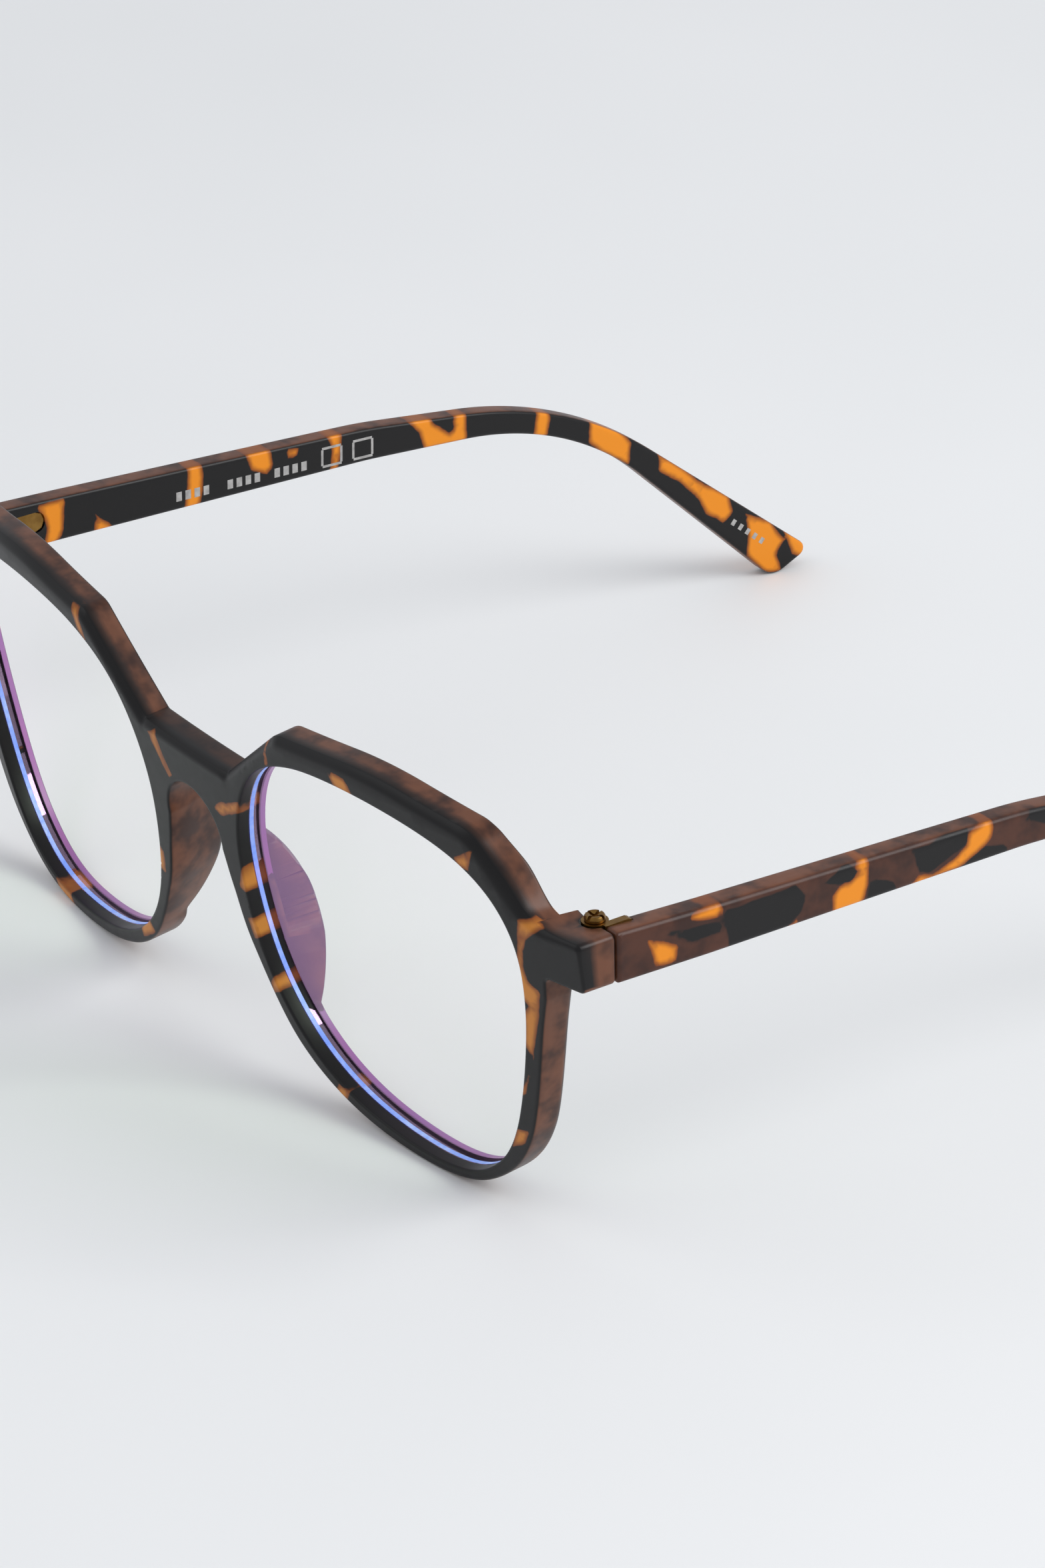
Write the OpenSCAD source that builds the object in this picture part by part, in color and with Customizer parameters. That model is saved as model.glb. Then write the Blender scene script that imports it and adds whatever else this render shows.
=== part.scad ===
// Full-rim moulded spectacles with clear lenses and folding temples, in millimetres.
// +X is the wearer's left, +Y runs back along the temples and +Z is up.
// The spectacles stand open on the bottoms of the rims and on the temple tips, at Z = 0.

/* [Lenses] */
// Boxed width of one lens
lens_w = 53.4; // [44:0.2:64]
// Boxed height of one lens
lens_h = 49.4; // [41:0.2:60]
// Distance between the lenses across the bridge
lens_gap = 19.2; // [17:0.2:26]
// Thickness of a lens
lens_t = 1.5; // [1:0.1:2]
// Depth of the lens behind the face of the front
lens_depth = 1.7; // [1:0.1:2]
// How far the lens edge reaches into the groove of the rim
groove_d = 0.4; // [0.3:0.05:0.6]
// Clearance around the lens in its groove
lens_clear = 0.05; // [0.02:0.01:0.1]

/* [Front] */
// Thickness of the front, from its face to its back
front_t = 4.2; // [3.8:0.1:5.5]
// Forward lean of the top of the front, in degrees
front_tilt = 7.2; // [2:0.2:11]
// Radius of the wrap of the front around the face
wrap_r = 366; // [280:2:900]
// Rim width above the lens
rim_top = 3.5; // [3:0.1:6]
// Rim width beside the lens
rim_side = 2.6; // [1.8:0.1:4]
// Rim width under the lens
rim_bottom = 0.6; // [0.5:0.1:3]
// Width of the nose gap under the bridge
nose_gap = 11.8; // [9:0.2:14]
// Height of the bridge, from the nose arch to its top
bridge_h = 5.5; // [4:0.1:8]
// Drop from the top of the lens to the top of the bridge
bridge_drop = 8.3; // [6:0.1:11]

/* [Nose pads] */
// Thickness of a nose pad
pad_t = 2.2; // [1.6:0.1:2.4]
// Reach of a nose pad behind the back of the front
pad_reach = 4.6; // [3:0.1:7]
// Radius of the rear edge of a nose pad, seen from the side
pad_r = 15.8; // [13:0.1:20]
// Outward flare of a nose pad, in degrees
pad_flare = 12; // [0:1:20]

/* [End pieces] */
// Reach of an end piece beyond the lens
end_w = 9.8; // [8:0.1:13]
// Height of an end piece
end_h = 6.5; // [5.5:0.1:9]
// Drop from the top of the lens to the top of the end piece
end_drop = 7.5; // [6:0.1:10]
// Depth of an end piece behind the face of the front, at its outer side
end_d = 4.9; // [4.6:0.1:7]

/* [Hinges] */
// Distance of the hinge axis from the outer side
hinge_inset = 4.2; // [3.4:0.1:5]
// Diameter of the hinge barrels
barrel_d = 3.2; // [2.6:0.1:3.6]
// Height of the middle barrel, which belongs to the front
mid_barrel_h = 2.3; // [1.8:0.1:3]
// Thickness of the hinge leaves
leaf_t = 1; // [0.7:0.1:1.2]
// Length of the temple leaf behind the axis
leaf_l = 10; // [8:0.5:16]
// Height of the narrow part of the temple leaf
leaf_h = 2.7; // [2:0.1:3.2]
// Length of the front leaf ahead of the axis
front_leaf_l = 3.8; // [3:0.1:4]
// Diameter of the screw
screw_d = 1.4; // [1.2:0.1:1.6]
// Diameter of the screw head
head_d = 2.5; // [2:0.1:2.8]
// Height of the screw head
head_h = 0.8; // [0.6:0.1:1.2]
// Gap between the end piece and the temple
hinge_gap = 0.2; // [0.15:0.05:0.4]
// Radial clearance of the screw in the middle barrel
screw_clear = 0.05; // [0.02:0.01:0.1]

/* [Temples] */
// Distance from the hinge axis to the point where the temple starts to turn down
bend_start = 60; // [50:1:75]
// Distance from the hinge axis to the end of the temple tip, before it is rounded
temple_run = 133.4; // [110:0.2:165]
// Thickness of a temple
temple_t = 3.3; // [2.8:0.1:4.5]
// Thickness of a temple at its tip
tip_t = 2.9; // [2.4:0.1:3.6]
// Length of the flat end of the temple tip, before it is rounded
tip_l = 6.5; // [5:0.1:9]
// Inward lean of a temple, in degrees
toe_in = 1.2; // [0:0.1:3]

/* [Hidden] */

$fn = 64;
WRAP_FACETS = 720;
CHORD = 1.6;       // longest straight step along a rounded corner
STEPS = 5;         // straight steps between two knots of a smooth curve
CUT = 40;          // length of cuts and blanks that run right through
FIT = 0.02;        // gap between a leaf and the pocket that it is bonded into

shell_colour = "#4a2c1c";
lens_colour = [0.84, 0.9, 0.96, 0.35];
metal_colour = "#9a6a35";

// Knots of the lens outline, anticlockwise from the outer side, as shares of half the lens box
LENS_SHAPE = [
    [0.989, 0.177], [0.947, 0.63], [0.673, 0.897], [0.137, 0.996], [-0.449, 0.955],
    [-0.821, 0.733], [-0.996, 0.28], [-0.935, -0.296], [-0.696, -0.7], [-0.304, -0.93],
    [0.247, -1], [0.597, -0.877], [0.829, -0.527]
];
// How far the rim has widened, from its bottom width to its side width, at the knots of
// its lower edge: [knot of the lens, share]
RIM_SHAPE = [[0, 1], [12, 0.75], [11, 0.27], [10, 0.19], [9, 0.34], [8, 0.52], [7, 0.62]];
NOSE_KNOT = 4;     // place in RIM_SHAPE where the nose pad begins

// Places in the plane of the front: x from the middle, z up from the bottom of the lens box
lens_cx = (lens_gap + lens_w) / 2;
lens_cz = lens_h / 2;
end_x = lens_gap / 2 + lens_w + end_w;
end_top = lens_h - end_drop;
bridge_top = lens_h - bridge_drop;
arch_r = nose_gap / 2;
arch_z = bridge_top - bridge_h - arch_r;
pad_back = front_t + pad_reach;
pad_z = arch_z - 9;

// Places in the row frame, before the model is centred front to back
lift = -min([for (p = front_outline()) wrapped(p.x, p.y).z]);
hinge_x = end_x - hinge_inset;
hinge_y = wrapped(end_x, end_top - end_h / 2).y + end_d;
end_z1 = wrapped(end_x, end_top).z + lift;
end_z0 = end_z1 - end_h;
end_mid_z = (end_z0 + end_z1) / 2;
barrel_r = barrel_d / 2;
pocket_r = barrel_r + 0.2;
end_face_y = hinge_y - hinge_gap / 2;
front_y = min([for (p = front_outline()) wrapped(p.x, p.y).y]);
tip_y = hinge_y + max([for (p = temple_side()) p.x]);
mid_shift = -(front_y + tip_y) / 2;

// ---- Outlines ----

function unit(v) = v / norm(v);
function xy(p) = [p.x, p.y];
function half_turn(a) = a > 180 ? a - 360 : (a < -180 ? a + 360 : a);

// The bend at corner v of an outline, rounded to radius v[2], with its neighbours a and b
function corner(a, v, b) =
    let (p = xy(v), u = unit(xy(a) - p), w = unit(xy(b) - p), half = acos(u * w) / 2, r = v[2])
    r == 0 ? [p] :
    let (c = p + unit(u + w) * r / sin(half),
         s = p + u * r / tan(half) - c,
         e = p + w * r / tan(half) - c,
         from = atan2(s.y, s.x),
         sweep = half_turn(atan2(e.y, e.x) - from),
         steps = max(2, ceil(r * abs(sweep) * PI / 180 / CHORD)))
    [for (k = [0:steps]) c + r * [cos(from + sweep * k / steps), sin(from + sweep * k / steps)]];

function rounded(v) =
    let (n = len(v))
    [for (i = [0:n - 1]) each corner(v[(i + n - 1) % n], v[i], v[(i + 1) % n])];

// The place at share t between knots b and c of a smooth curve that goes on from a to d
function between(a, b, c, d, t) =
    b + t * (c - a) / 2 + t * t * (a - 2.5 * b + 2 * c - d / 2)
    + t * t * t * (1.5 * (b - c) + (d - a) / 2);

function smooth_loop(k) =
    let (n = len(k))
    [for (i = [0:n - 1], s = [0:STEPS - 1])
        between(k[(i + n - 1) % n], k[i], k[(i + 1) % n], k[(i + 2) % n], s / STEPS)];

function smooth_path(k) =
    let (n = len(k), ends = concat([2 * k[0] - k[1]], k, [2 * k[n - 1] - k[n - 2]]))
    concat([for (i = [1:n - 1], s = [0:STEPS - 1])
        between(ends[i - 1], ends[i], ends[i + 1], ends[i + 2], s / STEPS)], [k[n - 1]]);

// Point i of an anticlockwise loop, moved outwards by d
function moved(loop, i, d) =
    let (n = len(loop), t = unit(loop[(i + 1) % n] - loop[(i + n - 1) % n]))
    loop[i] + d * [t.y, -t.x];

function grown(loop, d) = [for (i = [0:len(loop) - 1]) moved(loop, i, d)];

function lens_knots() =
    [for (s = LENS_SHAPE) [lens_cx + s.x * lens_w / 2, lens_cz + s.y * lens_h / 2]];

function lens_outline() = smooth_loop(lens_knots());

// Knots of the rim's lower edge, from the end piece round to the nose arch
function rim_knots() =
    [for (k = RIM_SHAPE) moved(lens_knots(), k[0], rim_bottom + k[1] * (rim_side - rim_bottom))];

function nose_knots() = [[arch_r + 1.2, arch_z - 5.4], [arch_r, arch_z - 0.6]];

// Outer edge of the left half of the front, clockwise from the bridge to the nose arch
function half_front() =
    let (under = [lens_gap / 2 + lens_w + rim_side + 0.7, end_top - end_h - 3],
         top = [
            [-arch_r - 3.3, bridge_top, 0],
            [arch_r + 3.3, bridge_top, 0.6],
            [lens_cx - 0.554 * lens_w / 2, lens_h + rim_top - 1.7, 3],
            [lens_cx + 0.101 * lens_w / 2, lens_h + rim_top, 60],
            [lens_cx + 0.76 * lens_w / 2, lens_h + rim_top - 1.8, 5],
            [lens_gap / 2 + lens_w + 2, end_top, 7],
            [under.x + 2, end_top, 0],
            [under.x + 2, end_top - end_h, 0],
            [under.x + 0.3, end_top - end_h, 0.8],
            [under.x, under.y, 0]
         ])
    concat([for (i = [1:len(top) - 2]) each corner(top[i - 1], top[i], top[i + 1])],
        smooth_path(concat([under], rim_knots(), nose_knots())));

function front_outline() =
    let (half = half_front())
    concat(half,
        [for (a = [0:10:180]) [arch_r * cos(a), arch_z + arch_r * sin(a)]],
        [for (i = [len(half) - 1:-1:0]) [-half[i].x, half[i].y]]);

// Distance that the wrapped face of the front lies behind its middle, at x
function wrap_back(x) = wrap_r - sqrt(wrap_r * wrap_r - x * x);

// The point at (x, z) of the leaning, wrapped face of the front
function wrapped(x, z) = [
    x,
    wrap_back(x) * cos(front_tilt) - z * sin(front_tilt),
    wrap_back(x) * sin(front_tilt) + z * cos(front_tilt)
];

// Side view of a temple: distance behind the hinge axis, and height
function temple_side() = rounded([
    [hinge_gap / 2, end_z1, 0],
    [bend_start, end_z1 - 3.3, 80],
    [bend_start + 32.6, end_z1 - 7.5, 60],
    [temple_run, 2.4, 1.2],
    [temple_run - tip_l, -0.58, 3],
    [bend_start + 32.4, end_z0 - 3.7, 46],
    [bend_start, end_z0 - 1.5, 80],
    [hinge_gap / 2, end_z0, 0]
]);

// Top view of a temple: distance outwards from the hinge axis, and distance behind it
function temple_plan() =
    let (straight = leaf_l + 3, lean = (temple_run + 5 - straight) * tan(toe_in))
    rounded([
        [hinge_inset - temple_t, hinge_gap / 2, 0],
        [hinge_inset, hinge_gap / 2, 0],
        [hinge_inset, straight, 150],
        [hinge_inset - lean, temple_run + 5, 0],
        [hinge_inset - tip_t - lean, temple_run + 5, 0],
        [hinge_inset - temple_t, straight, 150]
    ]);

// ---- Building blocks ----

// Puts pieces that are drawn in the plane of the front into the row frame
module tilted() {
    translate([0, 0, lift]) rotate([front_tilt, 0, 0]) children();
}

// A flat outline in x and z, extruded towards the back from y0 to y1
module back_extrude(outline, y0, y1) {
    translate([0, y1, 0]) rotate([90, 0, 0]) linear_extrude(y1 - y0) polygon(outline);
}

// A side outline in y and z, extruded in x from x0 to x1
module side_extrude(outline, x0, x1) {
    translate([x0, 0, 0]) rotate([90, 0, 90]) linear_extrude(x1 - x0) polygon(outline);
}

// Everything that lies more than depth behind the wrapped face of the front
module behind_face(depth) {
    translate([0, wrap_r, -CUT]) cylinder(r = wrap_r - depth, h = 3 * CUT, $fn = WRAP_FACETS);
}

// A wrapped plate with the given outline, between two depths behind the face
module wrapped_plate(outline, depth0, depth1) {
    difference() {
        intersection() {
            back_extrude(outline, -1, 2 * CUT / 3);
            behind_face(depth0);
        }
        behind_face(depth1);
    }
}

// Draws a piece of the wearer's left side where it is, or mirrored for the right side
module side(s) {
    mirror([s > 0 ? 0 : 1, 0, 0]) children();
}

module centred() {
    translate([0, mid_shift, 0]) children();
}

// Places children with the hinge axis of the left side as their Z axis
module at_hinge() {
    translate([hinge_x, hinge_y, 0]) children();
}

// ---- Front ----

// Squared block that carries the hinge; its top and bottom lie level
module end_piece() {
    inner_x = lens_gap / 2 + lens_w + 2.6;
    back_extrude(rounded([
        [inner_x, end_z0, 0], [end_x, end_z0, 0.8], [end_x, end_z1, 0.8], [inner_x, end_z1, 0]
    ]), end_face_y - CUT, end_face_y);
}

// The front without its nose pads, lens openings and hinge pockets
module front_blank() {
    intersection() {
        union() {
            tilted() difference() {
                back_extrude(front_outline(), -1, CUT / 2);
                behind_face(front_t);
            }
            for (s = [1, -1]) side(s) end_piece();
        }
        tilted() behind_face(0);
    }
}

// Opening with the groove that holds the lens
module lens_opening() {
    back_extrude(grown(lens_outline(), -groove_d), -2, CUT / 2);
    wrapped_plate(grown(lens_outline(), lens_clear),
        lens_depth - lens_clear, lens_depth + lens_t + lens_clear);
}

// Moulded fin behind the nose side of the rim, with a rounded rear edge. It starts behind the
// lens groove and flares outwards.
module nose_pad() {
    knots = concat(rim_knots(), nose_knots());
    edge = smooth_path([for (i = [NOSE_KNOT:len(knots) - 1]) knots[i]]);
    strip = [for (d = [0.15, pad_t]) [for (i = [1:len(edge) - 2])
        let (t = unit(edge[i + 1] - edge[i - 1])) edge[i] + d * [t.y, -t.x]]];
    section = concat(strip[0], [for (i = [len(strip[1]) - 1:-1:0]) strip[1][i]]);
    intersection() {
        translate([lens_gap / 2, lens_depth + lens_t, 0]) rotate([0, 0, -pad_flare])
            translate([-lens_gap / 2, 0, 0]) back_extrude(section, -1, pad_back);
        translate([0, pad_back - pad_r, pad_z]) rotate([0, 90, 0]) cylinder(r = pad_r, h = CUT);
        behind_face(lens_depth + lens_t + 3 * lens_clear);
    }
}

// Room for the barrels, and the slot that the front leaf is bonded into
module end_piece_pockets() {
    at_hinge() {
        translate([0, 0, -CUT / 2]) cylinder(r = pocket_r, h = 3 * CUT);
        translate([leaf_x0() - FIT, -front_leaf_l - FIT, end_mid_z - mid_barrel_h / 2 - FIT])
            cube([leaf_t + 2 * FIT, front_leaf_l + FIT, mid_barrel_h + 2 * FIT]);
    }
}

module front_frame() {
    color(shell_colour) centred() difference() {
        union() {
            difference() {
                front_blank();
                for (s = [1, -1]) side(s) tilted() lens_opening();
            }
            for (s = [1, -1]) side(s) tilted() nose_pad();
        }
        for (s = [1, -1]) side(s) end_piece_pockets();
    }
}

module lens(s) {
    color(lens_colour) centred() side(s) tilted()
        wrapped_plate(lens_outline(), lens_depth, lens_depth + lens_t);
}

// ---- Hinges ----

// Inner side of both leaves, measured outwards from the hinge axis
function leaf_x0() = hinge_inset - temple_t + 0.2;

// One barrel of the hinge between two heights, with its bore
module barrel(z0, z1, bore_r) {
    difference() {
        children();
        translate([0, 0, z0 - 1]) cylinder(r = bore_r, h = z1 - z0 + 2);
    }
}

module front_leaf(s) {
    z0 = end_mid_z - mid_barrel_h / 2;
    color(metal_colour) centred() side(s) at_hinge()
        barrel(z0, z0 + mid_barrel_h, screw_d / 2 + screw_clear) {
            union() {
                translate([0, 0, z0]) cylinder(r = barrel_r, h = mid_barrel_h);
                translate([leaf_x0(), -front_leaf_l, z0]) cube([leaf_t, front_leaf_l, mid_barrel_h]);
            }
        }
}

// Side view of the temple leaf: two lugs for its barrels, a web and a narrow rounded tail
function temple_leaf_side(extra) =
    let (z0 = end_z0 + 0.1 - extra, z1 = end_z1 + 0.1 + extra,
         m0 = end_mid_z - mid_barrel_h / 2 - hinge_gap / 2 - 0.05,
         m1 = end_mid_z + mid_barrel_h / 2 + hinge_gap / 2 + 0.05,
         web = pocket_r + 0.2, tail = leaf_h / 2 + extra)
    rounded([
        [0, z0, 0], [web + 1.8 + extra, z0, 0.5], [web + 1.8 + extra, end_mid_z - tail, 0.3],
        [leaf_l + extra, end_mid_z - tail, tail * 0.9], [leaf_l + extra, end_mid_z + tail, tail * 0.9],
        [web + 1.8 + extra, end_mid_z + tail, 0.3], [web + 1.8 + extra, z1, 0.5], [0, z1, 0],
        [0, m1, 0], [web, m1, 0], [web, m0, 0], [0, m0, 0]
    ]);

module temple_leaf(s) {
    mid0 = end_mid_z - mid_barrel_h / 2 - 0.05;
    mid1 = end_mid_z + mid_barrel_h / 2 + 0.05;
    color(metal_colour) centred() side(s) at_hinge()
        barrel(end_z0, end_z1, screw_d / 2 + FIT) {
            union() {
                translate([0, 0, end_z0 + 0.1]) cylinder(r = barrel_r, h = mid0 - end_z0 - 0.1);
                translate([0, 0, mid1]) cylinder(r = barrel_r, h = end_z1 + 0.1 - mid1);
                side_extrude(temple_leaf_side(0), leaf_x0(), leaf_x0() + leaf_t);
            }
        }
}

module hinge_screw(s) {
    head_z = end_z1 + 0.1;
    color(metal_colour) centred() side(s) at_hinge() difference() {
        union() {
            translate([0, 0, end_z0 + 0.1]) cylinder(d = screw_d, h = end_h + 0.1);
            translate([0, 0, head_z]) cylinder(d = head_d, h = head_h);
        }
        for (a = [0, 90]) rotate([0, 0, a + 20])
            translate([-head_d, -0.2, head_z + head_h / 2]) cube([2 * head_d, 0.4, head_h]);
    }
}

// ---- Temples ----

module temple(s) {
    color(shell_colour) centred() side(s) at_hinge() difference() {
        intersection() {
            side_extrude(temple_side(), -CUT, CUT);
            translate([0, 0, -CUT / 2]) linear_extrude(3 * CUT) polygon(temple_plan());
        }
        translate([0, 0, -CUT / 2]) cylinder(r = pocket_r, h = 3 * CUT);
        side_extrude(temple_leaf_side(0.1), -CUT, leaf_x0() + leaf_t + FIT);
    }
}

front_frame();
lens(1);  // lens_left
lens(-1);  // lens_right
temple(1);  // temple_left
temple(-1);  // temple_right
front_leaf(1);  // front_leaf_left
front_leaf(-1);  // front_leaf_right
temple_leaf(1);  // temple_leaf_left
temple_leaf(-1);  // temple_leaf_right
hinge_screw(1);  // hinge_screw_left
hinge_screw(-1);  // hinge_screw_right
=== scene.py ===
import math

import bmesh
import bpy
import numpy as np
from mathutils import Matrix, Vector
from mathutils.geometry import delaunay_2d_cdt


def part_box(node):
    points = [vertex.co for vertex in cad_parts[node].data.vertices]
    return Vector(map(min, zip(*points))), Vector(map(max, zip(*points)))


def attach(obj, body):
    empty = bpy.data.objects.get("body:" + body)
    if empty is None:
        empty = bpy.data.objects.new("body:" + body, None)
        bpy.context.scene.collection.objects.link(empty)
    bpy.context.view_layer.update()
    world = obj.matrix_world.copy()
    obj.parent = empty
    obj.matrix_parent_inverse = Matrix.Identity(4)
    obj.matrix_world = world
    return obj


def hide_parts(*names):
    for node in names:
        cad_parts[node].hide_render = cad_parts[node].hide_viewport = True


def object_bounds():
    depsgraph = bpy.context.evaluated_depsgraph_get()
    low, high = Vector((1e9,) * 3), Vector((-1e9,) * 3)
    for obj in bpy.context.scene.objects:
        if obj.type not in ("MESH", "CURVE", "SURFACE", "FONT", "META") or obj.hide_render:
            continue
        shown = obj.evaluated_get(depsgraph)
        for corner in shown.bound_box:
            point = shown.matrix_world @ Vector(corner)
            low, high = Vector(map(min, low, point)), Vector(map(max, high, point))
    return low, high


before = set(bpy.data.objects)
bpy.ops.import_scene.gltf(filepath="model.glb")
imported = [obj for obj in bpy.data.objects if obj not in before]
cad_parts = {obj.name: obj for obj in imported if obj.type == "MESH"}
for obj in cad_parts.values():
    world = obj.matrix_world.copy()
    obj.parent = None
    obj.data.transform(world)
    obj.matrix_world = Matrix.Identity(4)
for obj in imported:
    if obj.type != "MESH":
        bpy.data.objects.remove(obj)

cad_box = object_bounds()
MM = 0.001

# ======================================================================================
# Camera: a long lens from the wearer's left and a little above, rolled slightly, so that
# the front fills the lower left and the far temple runs off to the upper right.
# ======================================================================================
AZ, EL, ROLL = math.radians(55.81), math.radians(26.90), math.radians(-1.29)
TARGET = Vector((-23.32, -6.66, 7.08)) * MM
DISTANCE, FOCAL_LENGTH = 830.86, 219.2     # both in mm
back = Vector((math.sin(AZ) * math.cos(EL), -math.cos(AZ) * math.cos(EL), math.sin(EL)))
right = Vector((math.cos(AZ), math.sin(AZ), 0.0))
up = back.cross(right)
right, up = (right * math.cos(ROLL) + up * math.sin(ROLL),
             up * math.cos(ROLL) - right * math.sin(ROLL))
camera = bpy.data.objects.new("camera", bpy.data.cameras.new("camera"))
camera.data.sensor_fit = "HORIZONTAL"
camera.data.sensor_width = 36.0
camera.data.lens = FOCAL_LENGTH
camera.data.clip_start = 0.01
camera.matrix_world = Matrix((
    (right.x, up.x, back.x, 0), (right.y, up.y, back.y, 0), (right.z, up.z, back.z, 0),
    (0, 0, 0, 1)))
camera.location = TARGET + back * DISTANCE * MM
bpy.context.collection.objects.link(camera)
bpy.context.scene.camera = camera
bpy.context.scene.view_settings.view_transform = "Standard"


# ======================================================================================
# Floor and light: a white table that runs out of sight in a pale room. One wide window-like
# light stands behind the wearer's left and throws soft shadows forward, and a weaker one in
# front fills them.
# ======================================================================================
def srgb(code):
    """A hex colour as the linear RGBA that Cycles works in."""
    parts = [int(code[i:i + 2], 16) / 255 for i in (1, 3, 5)]
    return (*[c / 12.92 if c <= 0.04045 else ((c + 0.055) / 1.055) ** 2.4 for c in parts], 1.0)


def new_material(name):
    """An empty node tree with its output, and a short way to add a node with its settings
    and links. Noise scales are per metre: 1000 is a pattern of about 1 mm."""
    mat = bpy.data.materials.new(name)
    mat.use_nodes = True
    tree = mat.node_tree
    tree.nodes.clear()
    out = tree.nodes.new("ShaderNodeOutputMaterial")

    def node(kind, inputs=None, **settings):
        n = tree.nodes.new(kind)
        for key, value in settings.items():
            setattr(n, key, value)
        for key, value in (inputs or {}).items():
            if isinstance(value, bpy.types.NodeSocket):
                tree.links.new(value, n.inputs[key])
            else:
                n.inputs[key].default_value = value
        return n

    return mat, tree, out, node


mat, tree, out, node = new_material("table_top")
coord = node("ShaderNodeTexCoord").outputs["Object"]
cloud = node("ShaderNodeTexNoise", {"Vector": coord, "Scale": 9.0, "Detail": 2.0})
tone = node("ShaderNodeMix", {0: cloud.outputs["Fac"], 6: srgb("#ebecec"), 7: srgb("#f3f3f3")},
            data_type="RGBA")
paper = node("ShaderNodeBsdfPrincipled",
             {"Base Color": tone.outputs[2], "Roughness": 0.55, "Specular IOR Level": 0.25})
tree.links.new(paper.outputs[0], out.inputs[0])

mesh = bpy.data.meshes.new("table_top")
FLOOR = 6.0
mesh.from_pydata([(-FLOOR, -FLOOR, 0), (FLOOR, -FLOOR, 0), (FLOOR, FLOOR, 0), (-FLOOR, FLOOR, 0)],
                 [], [(0, 1, 2, 3)])
mesh.materials.append(mat)
floor = bpy.data.objects.new("table_top", mesh)
floor.location.z = cad_box[0][2] - 0.02 * MM
bpy.context.collection.objects.link(floor)

world = bpy.data.worlds.new("pale_room")
bpy.context.scene.world = world
world.use_nodes = True
world.node_tree.nodes["Background"].inputs["Color"].default_value = srgb("#eef1f6")
world.node_tree.nodes["Background"].inputs["Strength"].default_value = 0.7

for name, place, size, power in (("window", (0.75, 0.55, 0.75), 0.7, 8.0),
                                 ("fill", (-0.5, -0.9, 0.9), 0.9, 1.5)):
    lamp = bpy.data.lights.new(name, "AREA")
    lamp.size = size
    lamp.energy = power
    light = bpy.data.objects.new(name, lamp)
    light.location = place
    light.rotation_euler = (-Vector(place)).to_track_quat("-Z", "Y").to_euler()
    bpy.context.collection.objects.link(light)


# ======================================================================================
# Tortoiseshell: injection-moulded plastic, blackish brown with soft-edged amber islands,
# satin matte from a spark-eroded mould. The faces read almost black, the walls and edges show
# the brown body with a painted sheen, and the amber carries a painted glow for the light it
# lets through.
# ======================================================================================

# Each mesh carries "amber" and "dark", the millimetres inside an island, and a wall weight,
# which is 1 on its walls and edges: there the brown body shows, with a painted sheen
def shell_material(name, rust, amber_light, painted_glow):
    """rust and amber_light are an island's rim and middle, and the last argument is how strongly the
    amber glows: a painted glow that stands for light coming through it.
    """
    mat, tree, out, node = new_material(name)
    coord = node("ShaderNodeTexCoord").outputs["Object"]

    def attribute(name):
        return node("ShaderNodeAttribute", attribute_name=name).outputs["Fac"]

    def maths(op, a, b, **more):
        return node("ShaderNodeMath", {0: a, 1: b}, operation=op, **more).outputs[0]

    def ramp(value, low, high):
        return node("ShaderNodeMapRange", {"Value": value, "From Min": low, "From Max": high},
                    interpolation_type="SMOOTHSTEP").outputs[0]

    def blend(factor, a, b):
        return node("ShaderNodeMix", {0: factor, 6: a, 7: b}, data_type="RGBA").outputs[2]

    # Islands wander by a few tenths of a millimetre, as dyed plastic flows
    wander = node("ShaderNodeTexNoise", {"Vector": coord, "Scale": 380.0, "Detail": 2.5})
    drift = maths("MULTIPLY", maths("SUBTRACT", wander.outputs["Fac"], 0.5), 0.7)
    amber = ramp(maths("ADD", attribute("amber"), drift), -0.05, 0.16)
    dark = ramp(maths("ADD", attribute("dark"), drift), -0.12, 0.2)
    wall_brown_and_painted_sheen = attribute("wall_brown_and_painted_sheen")

    # Streaks of brown in the core, about 5 mm long
    streak = node("ShaderNodeTexNoise", {"Vector": coord, "Scale": 190.0, "Detail": 3.0,
                                         "Roughness": 0.6})
    glow = ramp(streak.outputs["Fac"], 0.34, 0.64)
    brown = blend(glow, srgb("#331a12"), srgb("#4d2a1c"))
    face = blend(dark, brown, srgb("#0b090a"))
    # Walls and edges take this lighter brown: the brown body, lightened further as a painted sheen
    edge = blend(glow, srgb("#3a2118"), srgb("#704530"))
    body = blend(maths("MULTIPLY", wall_brown_and_painted_sheen, 0.9), face, edge)

    # Amber is brightest in the middle of an island and reddens at its rim; on walls and edges the wall
    # weight turns it brown, for the brown body and painted sheen there
    deep = ramp(maths("ADD", attribute("amber"), drift), 0.0, 0.9)
    honey = blend(deep, srgb(rust), srgb(amber_light))
    honey = blend(maths("MULTIPLY", wall_brown_and_painted_sheen, 0.85), honey, srgb("#6e3a1c"))
    colour = blend(amber, body, honey)

    # Grain of the matte mould, 0.1 mm: coarser than the real one, so that it shows
    grain = node("ShaderNodeTexNoise", {"Vector": coord, "Scale": 9000.0, "Detail": 2.0})
    bump = node("ShaderNodeBump", {"Height": grain.outputs["Fac"], "Strength": 0.12,
                                   "Distance": 0.00004})
    patchy = node("ShaderNodeTexNoise", {"Vector": coord, "Scale": 600.0})
    rough = node("ShaderNodeMapRange", {"Value": patchy.outputs["Fac"], "To Min": 0.30,
                                        "To Max": 0.40}).outputs[0]
    # The amber glows by emission: a painted glow for the light that comes through it
    plastic = node("ShaderNodeBsdfPrincipled", {
        "Base Color": colour, "Roughness": rough, "Specular IOR Level": 0.3,
        "Normal": bump.outputs[0],
        "Emission Color": colour, "Emission Strength": maths("MULTIPLY", amber, painted_glow)})
    tree.links.new(plastic.outputs[0], out.inputs[0])
    return mat


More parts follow.
